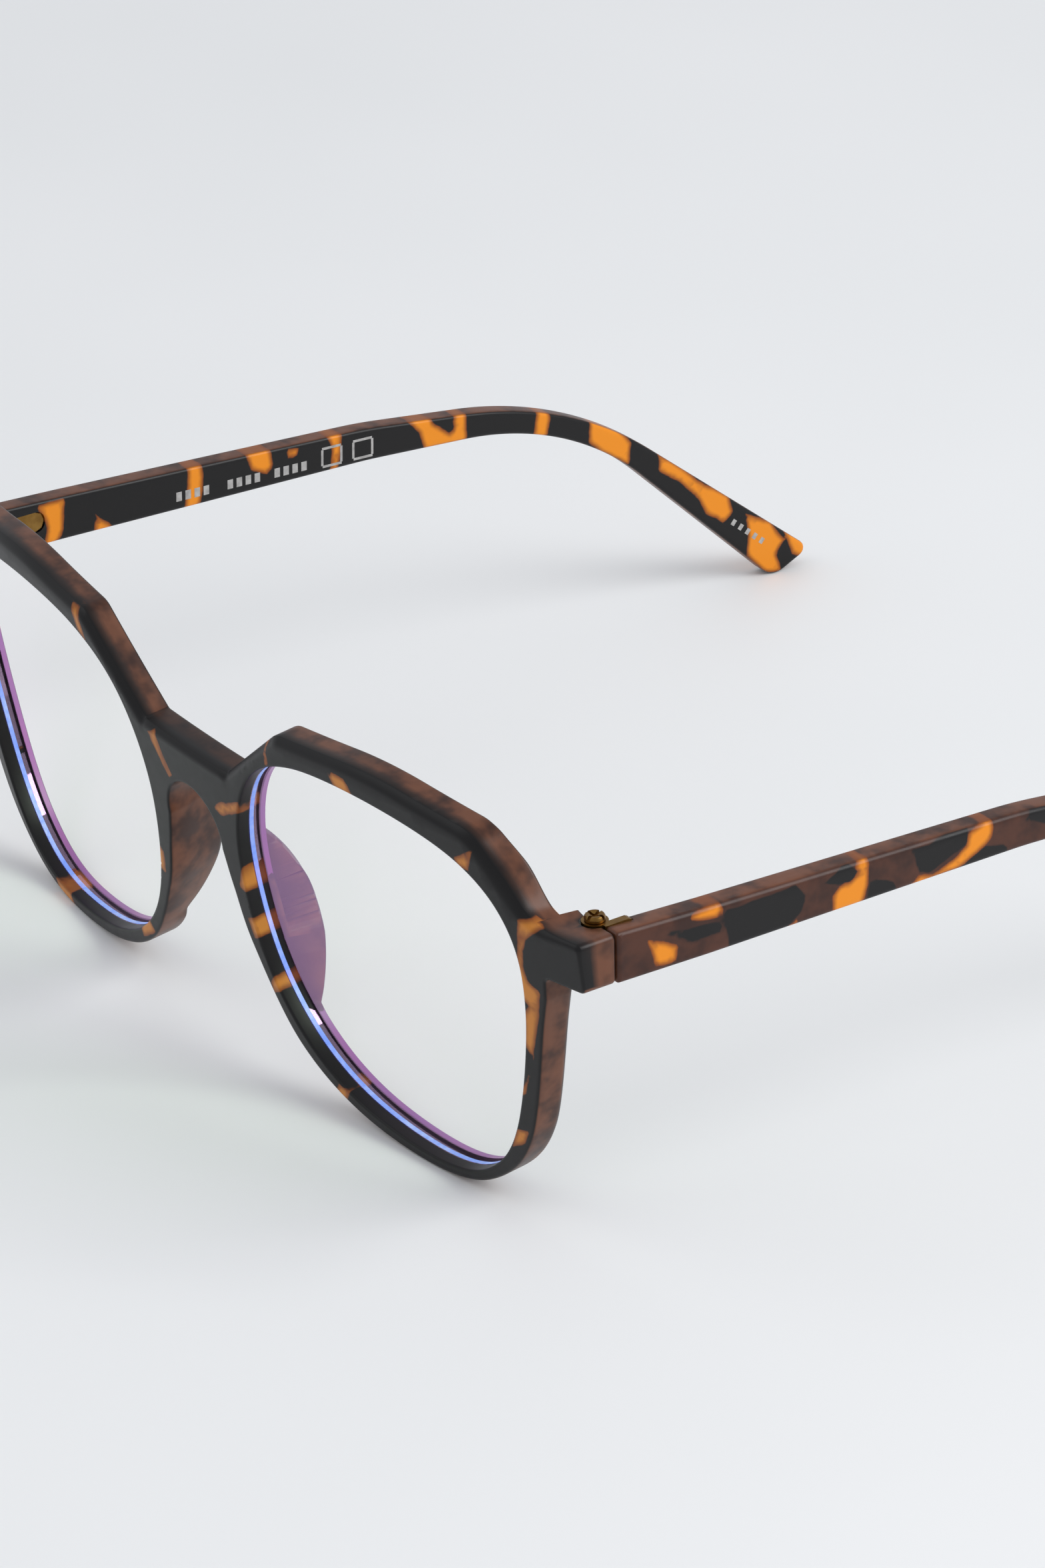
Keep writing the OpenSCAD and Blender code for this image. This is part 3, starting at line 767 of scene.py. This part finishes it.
def lens_piece(name, sign):
    """A lens whose front carries the coating, with two bands of painted light at its edge."""
    loop = lens_loop * (sign, 1)
    loop = loop if sign > 0 else loop[::-1]
    obj = plate(name, [loop],
                lambda p, depth: (lean(p[:, 0], wrap(p[:, 0], depth), p[:, 1]) + (0, SHIFT, LIFT)) * MM,
                lambda p: np.full(len(p), LENS_DEPTH), lambda p: np.full(len(p), LENS_DEPTH + LENS_T),
                [[(0.5, 0.0)]], (0.3, 1.0), 3.0)
    # Two thin bands on the wall of the opening: a painted blue glow where the lens edge looks
    # bright, and a painted violet reflection that the coating throws on the rim behind it
    ring = open_loop * (sign, 1)
    ring = ring if sign > 0 else ring[::-1]
    n = normals(ring)
    m = len(ring)
    bm = bmesh.new()
    bm.from_mesh(obj.data)
    for face in bm.faces:
        face.material_index = 3 if face.normal.y > 0.5 else 0
    for slot, near, far in ((1, LENS_DEPTH + 0.04, LENS_DEPTH + 0.62),
                            (2, LENS_DEPTH + LENS_T + 0.12, FRONT_T - 0.2)):
        rows = []
        for depth, inset in ((near, 0.02), (far, 0.02), (far, 0.06), (near, 0.06)):
            p = ring - n * inset
            q = lean(p[:, 0], wrap(p[:, 0], np.full(m, depth)), p[:, 1]) + (0, SHIFT, LIFT)
            rows.append([bm.verts.new(v) for v in q * MM])
        for a, b in zip(rows, rows[1:] + rows[:1]):
            for i in range(m):
                bm.faces.new((a[i], a[(i + 1) % m], b[(i + 1) % m], b[i])).material_index = slot
    bmesh.ops.recalc_face_normals(bm, faces=[f for f in bm.faces if f.material_index in (1, 2)])
    bm.to_mesh(obj.data)
    bm.free()
    finish_shape(obj)
    obj.data.materials.append(lens_mat)
    obj.data.materials.append(painted_edge_glow_mat)
    obj.data.materials.append(glint_mat)
    obj.data.materials.append(rear_mat)
    return obj


for side, sign in (("left", 1), ("right", -1)):
    lens = lens_piece(f"lens_{side}_coated", sign)
    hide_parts(f"lens_{side}")
    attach(lens, "front")


# ======================================================================================
# Temples: long flat bars with rolled edges that turn down behind the ear, each with the
# pocket for its hinge leaf.
# ======================================================================================
RUN, TIP_L, BEND = 133.38, 6.5, 60.0
# Corners of a temple's side view: place behind the hinge, height and radius
SIDE = [(0.1, END_Z1, 0.4), (BEND, END_Z1 - 3.3, 80), (BEND + 32.6, END_Z1 - 7.5, 60),
        (RUN, 2.4, 1.2), (RUN - TIP_L, -0.58, 3.0), (BEND + 32.4, END_Z0 - 3.7, 46),
        (BEND, END_Z0 - 1.5, 80), (0.1, END_Z0, 0.4)]
side_loop = refined(rounded_loop(SIDE, 0.5)[::-1], 0.6)
side_n = normals(side_loop)
side_roll = 0.45 + 0.3 * ease(side_n[:, 1], 0.3, 0.8)
for _ in range(4):
    side_roll = (np.roll(side_roll, 1) + 2 * side_roll + np.roll(side_roll, -1)) / 4
STRAIGHT, TOE_IN = 13.0, math.radians(1.2)
TEMPLE_T, TAPER, TAPER_END = 3.3, 0.4, RUN + 5


def toe(s):
    """How far the bar has drawn inwards at s behind the hinge."""
    return np.maximum(s - STRAIGHT, 0) * math.tan(TOE_IN)


def thick(s):
    return TEMPLE_T - TAPER * np.clip((s - STRAIGHT) / (TAPER_END - STRAIGHT), 0, 1)


def temple_surface(p, depth):
    x = END_X - toe(p[:, 0]) - depth
    return np.stack([x, p[:, 0] + AXIS_Y, p[:, 1]], -1) * MM


def temple_face(p):
    d, w = to_edge(p, side_loop, side_roll)
    return roll(d, w, w, 1.8)


def temple_rear(p):
    d, w = to_edge(p, side_loop, side_roll)
    return thick(p[:, 0]) - roll(d, 0.5, 0.5, 2)


def leaf_outline(extra):
    """The temple leaf from the side: a square lug, then a long tail with a round end."""
    z0, z1 = END_Z0 + 0.1 - extra, END_Z1 + 0.1 + extra
    lug, tail, end = 3.8 + extra, 1.35 + extra, 10 + extra
    return rounded_loop([(-2, z0, 0), (lug, z0, 0.5), (lug, END_MID - tail, 0.3),
                         (end, END_MID - tail, tail * 0.9), (end, END_MID + tail, tail * 0.9),
                         (lug, END_MID + tail, 0.3), (lug, z1, 0.5), (-2, z1, 0)], 0.2)


# Islands along each temple: place behind the hinge, and height. Those on the front 66 mm of
# the left temple and on the right one were measured with a scratch program, the rest invented
LEFT_AMBER = [
    [(4.2, 41.2), (6.7, 40.2), (8.6, 39.0), (8.3, 36.9), (5.2, 37.4), (4.8, 39.4)],
    [(10.5, 42.4), (14.8, 42.8), (15.2, 40.6), (12.7, 41.0), (10.0, 41.6)],
    [(26.4, 38.1), (25.8, 36.0), (23.2, 35.6), (20.8, 35.8), (24.5, 36.7)],
    [(32.4, 39.4), (36.3, 42.6), (36.3, 38.4), (35.2, 34.7), (30.9, 35.2), (30.9, 38.3)],
    [(51.1, 39.9), (55.2, 41.0), (54.8, 38.1), (52.5, 36.5), (49.5, 35.6), (43.8, 35.1),
     (41.8, 35.3), (43.8, 36.7), (45.7, 36.3), (49.1, 37.2), (51.0, 38.4)],
    [(61.5, 39.2), (65.9, 41.0), (65.5, 38.0), (64.8, 37.6), (63.5, 38.4)],
    [(74.0, 33.4), (79.0, 33.0), (77.4, 36.0), (78.8, 40.0), (75.4, 40.0)],
    [(88.0, 29.0), (93.4, 29.4), (96.4, 33.6), (92.6, 33.8)],
    [(103.0, 20.0), (106.8, 22.6), (110.0, 18.0), (106.6, 17.6)],
    [(114.8, 9.8), (118.4, 14.6), (121.6, 12.6), (117.6, 7.6)],
    [(125.0, 1.0), (127.4, 7.6), (131.0, 4.6), (129.4, 0.0)]]
LEFT_DARK = [
    [(14.8, 41.4), (18.0, 41.3), (25.6, 41.4), (27.0, 39.6), (26.5, 37.6), (24.6, 36.4),
     (21.8, 35.2), (15.9, 35.5), (15.2, 39.5)],
    [(29.5, 40.2), (33.2, 41.8), (34.8, 39.9), (33.4, 39.1), (30.9, 39.6)],
    [(36.6, 38.6), (40.2, 37.1), (41.0, 34.2), (35.7, 34.7), (36.1, 37.3)],
    [(42.3, 40.6), (44.9, 40.2), (51.5, 41.2), (50.8, 38.4), (48.3, 37.5), (45.5, 36.4),
     (43.8, 37.2), (43.3, 38.6)],
    [(49.5, 35.6), (53.8, 37.3), (57.0, 36.6), (57.6, 34.1), (50.6, 34.1)],
    [(59.6, 38.6), (61.6, 41.0), (71.3, 41.0), (72.3, 34.0), (65.4, 34.0), (65.9, 37.0),
     (63.2, 37.2)],
    [(6.7, 41.2), (15.2, 40.2), (14.6, 38.8), (10.8, 38.8), (8.6, 40.2)],
    [(80.0, 32.0), (86.0, 30.0), (89.0, 36.0), (81.0, 38.0)],
    [(96.0, 24.0), (101.0, 22.0), (104.0, 27.6), (99.0, 31.4)],
    [(109.0, 14.0), (113.4, 10.6), (116.0, 16.8), (111.0, 20.0)],
    [(119.6, 4.6), (124.0, 1.0), (125.6, 8.6), (121.0, 11.6)]]
RIGHT_AMBER = [
    [(9.1, 42.3), (13.4, 42.3), (12.8, 37.4), (11.4, 35.6), (9.4, 35.9), (10.3, 38.6)],
    [(17.6, 38.9), (21.6, 35.0), (17.2, 35.0)],
    [(31.8, 42.0), (34.4, 42.0), (34.1, 38.0), (33.6, 34.8), (30.9, 35.0), (31.7, 38.4)],
    [(40.6, 41.6), (44.7, 41.4), (45.2, 38.4), (43.9, 37.3), (41.5, 38.7)],
    [(47.3, 40.2), (49.2, 40.0), (48.7, 38.7), (47.4, 38.9)],
    [(53.2, 41.4), (56.0, 41.4), (55.7, 37.8), (55.0, 34.8), (53.7, 34.8), (54.2, 38.6)],
    [(65.6, 40.2), (69.8, 40.2), (70.4, 38.1), (73.2, 35.9), (73.6, 36.8), (73.2, 40.0),
     (75.9, 39.8), (75.8, 33.8), (69.1, 34.2), (68.1, 37.0)],
    [(87.3, 36.3), (89.7, 36.0), (89.1, 31.7), (88.0, 30.0), (86.4, 30.6)],
    [(95.8, 31.6), (97.4, 32.4), (101.8, 28.2), (102.8, 26.7), (102.3, 23.4), (97.7, 26.3),
     (95.6, 28.6)],
    [(107.1, 24.0), (109.2, 22.6), (114.9, 17.3), (119.4, 14.3), (120.0, 11.5), (118.2, 10.2),
     (115.2, 12.4), (113.4, 15.8), (110.7, 18.6), (107.2, 21.2)],
    [(122.0, 10.8), (126.4, 8.4), (128.8, 4.8), (127.4, 3.0), (128.4, 0.0), (125.0, 0.6),
     (122.2, 4.2), (122.4, 7.6)],
    [(128.6, 6.8), (133.6, 3.6), (132.0, 1.0), (130.0, 2.2)]]
RIGHT_DARK = [[(73.0, 40.6), (70.5, 38.7), (73.1, 36.6), (73.8, 38.0)]]

for side, sign, amber_islands, dark_islands, base_dark in (
        ("left", 1, LEFT_AMBER, LEFT_DARK, -0.35), ("right", -1, RIGHT_AMBER, RIGHT_DARK, 1.5)):
    temple = plate(f"temple_{side}_bar", [side_loop], temple_surface, temple_face, temple_rear,
                   [[(0.33, 0.0), (0.66, 0.0)]], (0.04, 0.12, 0.25, 0.45, 0.75), 0.8)
    carve(temple, [prism("cut", circle(HINGE_X, AXIS_Y, BARREL_ROOM), "z", BELOW, ABOVE),
                   prism("cut", [(AXIS_Y + s, z) for s, z in leaf_outline(LEAF_GAP)], "x",
                         HINGE_X - 3, HINGE_X + POCKET_OUT)])
    if sign < 0:
        temple.data.transform(Matrix.Scale(-1, 4, (1, 0, 0)))
        temple.data.flip_normals()
    paint(temple, lambda co: (co[:, 1] - AXIS_Y, co[:, 2]), amber_islands, dark_islands, base_dark,
          (1, 0, 0))
    finish_shape(temple)
    temple.data.materials.clear()
    temple.data.materials.append(temple_shell)
    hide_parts(f"temple_{side}")
    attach(temple, f"temple_{side}")


# ======================================================================================
# Print: worn white ink on the inner face of the right temple, 0.02 mm proud, with plain bars
# and empty squares where a maker prints sizes. Each row is a line of equal bars.
# ======================================================================================
mat, tree, out, node = new_material("white_ink")
coord = node("ShaderNodeTexCoord").outputs["Object"]
worn = node("ShaderNodeTexNoise", {"Vector": coord, "Scale": 1400.0, "Detail": 2.0})
tone = node("ShaderNodeMix", {0: worn.outputs["Fac"], 6: srgb("#7d7a78"), 7: srgb("#c4c2c0")},
            data_type="RGBA")
ink = node("ShaderNodeBsdfPrincipled", {"Base Color": tone.outputs[2], "Roughness": 0.6})
tree.links.new(ink.outputs[0], out.inputs[0])
ink_mat = mat

row_tree = bpy.data.node_groups.new("print_row", "GeometryNodeTree")
row_input = {name: row_tree.interface.new_socket(name, in_out="INPUT", socket_type=kind).identifier
             for name, kind in (("Start", "NodeSocketVector"), ("Step", "NodeSocketVector"),
                                ("Count", "NodeSocketInt"), ("Bar size", "NodeSocketVector"),
                                ("Turn", "NodeSocketVector"), ("Ink", "NodeSocketMaterial"))}
row_tree.interface.new_socket("Geometry", in_out="OUTPUT", socket_type="NodeSocketGeometry")
given, line, bar, turn, spread, real, inked, result = [row_tree.nodes.new(kind) for kind in (
    "NodeGroupInput", "GeometryNodeMeshLine", "GeometryNodeMeshCube", "FunctionNodeEulerToRotation",
    "GeometryNodeInstanceOnPoints", "GeometryNodeRealizeInstances", "GeometryNodeSetMaterial",
    "NodeGroupOutput")]
for source, plug, target, socket in (
        (given, "Start", line, "Start Location"), (given, "Step", line, "Offset"),
        (given, "Count", line, "Count"), (given, "Bar size", bar, "Size"),
        (given, "Turn", turn, "Euler"), (line, "Mesh", spread, "Points"),
        (bar, "Mesh", spread, "Instance"), (turn, "Rotation", spread, "Rotation"),
        (spread, "Instances", real, "Geometry"), (real, "Geometry", inked, "Geometry"),
        (given, "Ink", inked, "Material"), (inked, "Geometry", result, "Geometry")):
    row_tree.links.new(source.outputs[plug], target.inputs[socket])


BAR_T, PROUD = 0.07, 0.02


def on_right_temple(s, height):
    """Middle of a bar on the inner face, s behind the hinge and at a height."""
    x, y, z = temple_surface(np.array([[s, height]]), thick(s) - BAR_T / 2 + PROUD)[0]
    return Vector((-x, y, z))


def printed(name, rows, slope):
    """Joins rows of bars into one piece. Each row gives the place (s, z) of its first
    bar's middle, the count, the step along and up, and a bar's width and height."""
    bm = bmesh.new()
    for s, z, count, along, rise, wide, high in rows:
        start = on_right_temple(s, z)
        step = on_right_temple(s + along, z + rise) - start
        turn_z = -math.atan(math.tan(TOE_IN) - TAPER / (TAPER_END - STRAIGHT))
        row = bpy.data.objects.new("row", bpy.data.meshes.new("row"))
        bpy.context.collection.objects.link(row)
        made = row.modifiers.new("print", "NODES")
        made.node_group = row_tree
        for key, value in (("Start", start), ("Step", step), ("Count", count),
                           ("Bar size", Vector((BAR_T, wide, high)) * MM),
                           ("Turn", (math.atan(slope), 0.0, turn_z)), ("Ink", ink_mat)):
            made[row_input[key]] = value
        bm.from_mesh(bpy.data.meshes.new_from_object(
            row.evaluated_get(bpy.context.evaluated_depsgraph_get())))
        row.modifiers.clear()
        bpy.data.objects.remove(row)
    bmesh.ops.recalc_face_normals(bm, faces=bm.faces)
    mesh = bpy.data.meshes.new(name)
    bm.to_mesh(mesh)
    bm.free()
    mesh.materials.append(ink_mat)
    obj = bpy.data.objects.new(name, mesh)
    bpy.context.collection.objects.link(obj)
    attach(obj, "temple_right")


# The line of print falls by SLOPE as it runs back, as the bar does; sizes are in mm
SLOPE, BAR_STEP, SQUARE_STEP = -0.037, 1.4, 4.9
digits = [(s, 37.9 + SLOPE * (s - 30), 4, BAR_STEP, BAR_STEP * SLOPE, 0.85, 1.3)
          for s in (30.4, 38.3, 45.6)]
squares = [(s, 38.4 + rise + SLOPE * (s - 30), 2, SQUARE_STEP, SQUARE_STEP * SLOPE, wide, high)
           for s, rise, wide, high in ((54.2, -1.3, 3.0, 0.35), (54.2, 1.3, 3.0, 0.35),
                                       (52.7, 0.0, 0.35, 2.3), (55.7, 0.0, 0.35, 2.3))]
printed("temple_right_print", digits + squares, SLOPE)
TIP_SLOPE, TIP_STEP = -0.85, 1.2
printed("temple_right_tip_print", [(120.0, 9.9, 5, TIP_STEP, TIP_STEP * TIP_SLOPE, 0.7, 0.9)],
        TIP_SLOPE)


# ======================================================================================
# Hinges: stamped leaves of dull bronze, as the CAD has them, and turned screws with a
# crossed slot that breaks through the rim of the head. Both look satin, like tumbled metal.
# ======================================================================================
mat, tree, out, node = new_material("hinge_bronze")
coord = node("ShaderNodeTexCoord").outputs["Object"]
tarnish = node("ShaderNodeTexNoise", {"Vector": coord, "Scale": 900.0, "Detail": 3.0})
tone = node("ShaderNodeMix", {0: tarnish.outputs["Fac"], 6: srgb("#664824"), 7: srgb("#9a7840")},
            data_type="RGBA")
scratch = node("ShaderNodeTexNoise", {"Vector": coord, "Scale": 5000.0, "Detail": 2.0})
bump = node("ShaderNodeBump", {"Height": scratch.outputs["Fac"], "Strength": 0.15,
                               "Distance": 0.00003})
bronze = node("ShaderNodeBsdfPrincipled", {
    "Base Color": tone.outputs[2], "Metallic": 1.0, "Roughness": 0.33, "Normal": bump.outputs[0]})
tree.links.new(bronze.outputs[0], out.inputs[0])
bronze_mat = mat
for side in ("left", "right"):
    for part in ("front_leaf", "temple_leaf"):
        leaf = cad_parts[f"{part}_{side}"]
        leaf.data.materials.clear()
        leaf.data.materials.append(bronze_mat)


def screw_piece(name, sign):
    """A turned profile, dished on top, with two slots cut across it."""
    z0, head = END_Z0 + 0.1, END_Z1 + 0.1
    profile = [(0.0, z0), (0.6, z0), (0.7, z0 + 0.1), (0.7, head), (1.16, head), (1.24, head + 0.08),
               (1.25, head + 0.3), (1.22, head + 0.55), (1.1, head + 0.74), (0.9, head + 0.8),
               (0.72, head + 0.76), (0.5, head + 0.6), (0.0, head + 0.5)]
    bm = bmesh.new()
    chain = [bm.verts.new((r * MM, 0, z * MM)) for r, z in profile]
    edges = [bm.edges.new(pair) for pair in zip(chain, chain[1:])]
    bmesh.ops.spin(bm, geom=chain + edges, cent=(0, 0, 0), axis=(0, 0, 1), angle=2 * math.pi,
                   steps=48, use_duplicate=False)
    bmesh.ops.remove_doubles(bm, verts=bm.verts, dist=1e-7)
    bmesh.ops.recalc_face_normals(bm, faces=bm.faces)
    mesh = bpy.data.meshes.new(name)
    bm.to_mesh(mesh)
    bm.free()
    x, y = sign * HINGE_X, AXIS_Y
    mesh.transform(Matrix.Translation(Vector((x, y, 0)) * MM))
    obj = bpy.data.objects.new(name, mesh)
    bpy.context.collection.objects.link(obj)
    slots = []
    for a in (20, 110):
        u = np.array([math.cos(math.radians(a)), math.sin(math.radians(a))])
        v = np.array([-u[1], u[0]])
        slots.append(prism("cut", [(x, y) + 2.0 * s * u + 0.2 * t * v for s, t in
                                   ((1, 1), (-1, 1), (-1, -1), (1, -1))], "z",
                           head + 0.36, head + 2))
    carve(obj, slots)
    finish_shape(obj, 30)
    obj.data.materials.clear()
    obj.data.materials.append(bronze_mat)
    return obj


for side, sign in (("left", 1), ("right", -1)):
    screw = screw_piece(f"screw_{side}_turned", sign)
    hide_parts(f"hinge_screw_{side}")
    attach(screw, f"temple_{side}")
